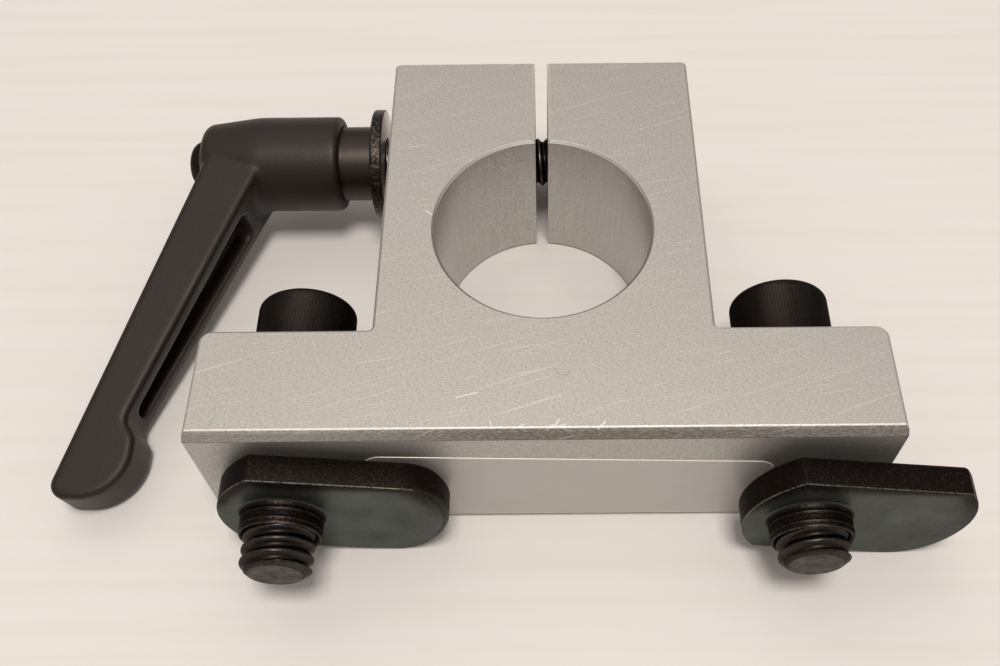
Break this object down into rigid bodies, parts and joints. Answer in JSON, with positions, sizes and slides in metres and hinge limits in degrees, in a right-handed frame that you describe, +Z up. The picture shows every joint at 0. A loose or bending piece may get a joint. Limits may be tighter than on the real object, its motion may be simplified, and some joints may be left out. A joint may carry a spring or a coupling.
{
  "type": "stanchion clamp",
  "caption": "Split T-shaped aluminium block that clamps a round post, with a spring-loaded ratchet lever on its clamping stud and socket screws with offset slot nuts in its base.",
  "frame": {"origin": "on the tube bore's axis at the resting face", "axes": "+Z up along the bore axis; +Y from the bolted base to the split end; +X away from the lever"},
  "size_m": [0.105, 0.0654, 0.0215],
  "materials": {
    "block": "satin, tumbled",
    "black_steel": "black oxide",
    "bushing_steel": "dark turned steel",
    "lever_plastic": "fine matt texture",
    "spring_steel": "drawn wire"
  },
  "bodies": {
    "block": {"clamp_body": "block"},
    "left_screw": {"base_screw_left": "black_steel"},
    "right_screw": {"base_screw_right": "black_steel"},
    "left_nut": {"t_nut_left": "black_steel"},
    "right_nut": {"t_nut_right": "black_steel"},
    "washer": {"clamp_washer": "black_steel"},
    "insert": {"lever_insert": "bushing_steel", "clamp_stud": "black_steel", "retaining_screw": "black_steel", "lever_spring": "spring_steel"},
    "handle": {"lever_handle": "lever_plastic"}
  },
  "joints": [
    {"name": "left_screw_turn", "type": "hinge", "parent": "block", "child": "left_screw", "pos_m": [-0.02895, 0, 0.01075], "axis": [0, 1, 0], "continuous": true},
    {"name": "right_screw_turn", "type": "hinge", "parent": "block", "child": "right_screw", "pos_m": [0.02895, 0, 0.01075], "axis": [0, 1, 0], "continuous": true},
    {"name": "left_nut_swing", "type": "hinge", "parent": "left_screw", "child": "left_nut", "pos_m": [-0.02895, -0.03, 0.01075], "axis": [0, 1, 0], "continuous": true},
    {"name": "right_nut_swing", "type": "hinge", "parent": "right_screw", "child": "right_nut", "pos_m": [0.02895, -0.03, 0.01075], "axis": [0, 1, 0], "continuous": true},
    {"name": "stud_advance", "type": "slide", "parent": "block", "child": "washer", "axis": [1, 0, 0], "range_m": [-0.0013, 0.0017]},
    {"name": "lever_turn", "type": "hinge", "parent": "washer", "child": "insert", "pos_m": [-0.02235, 0.01875, 0.01075], "axis": [1, 0, 0], "range_deg": [-360, 480]},
    {"name": "handle_lift", "type": "slide", "parent": "insert", "child": "handle", "axis": [-1, 0, 0], "range_m": [0, 0.003], "stiffness_N_per_m": 1500, "springref_m": -0.002, "deforming": ["lever_spring"]}
  ],
  "couplings": [
    {"joint": "stud_advance", "follows": "lever_turn", "m_per_rad": 0.00020213}
  ]
}
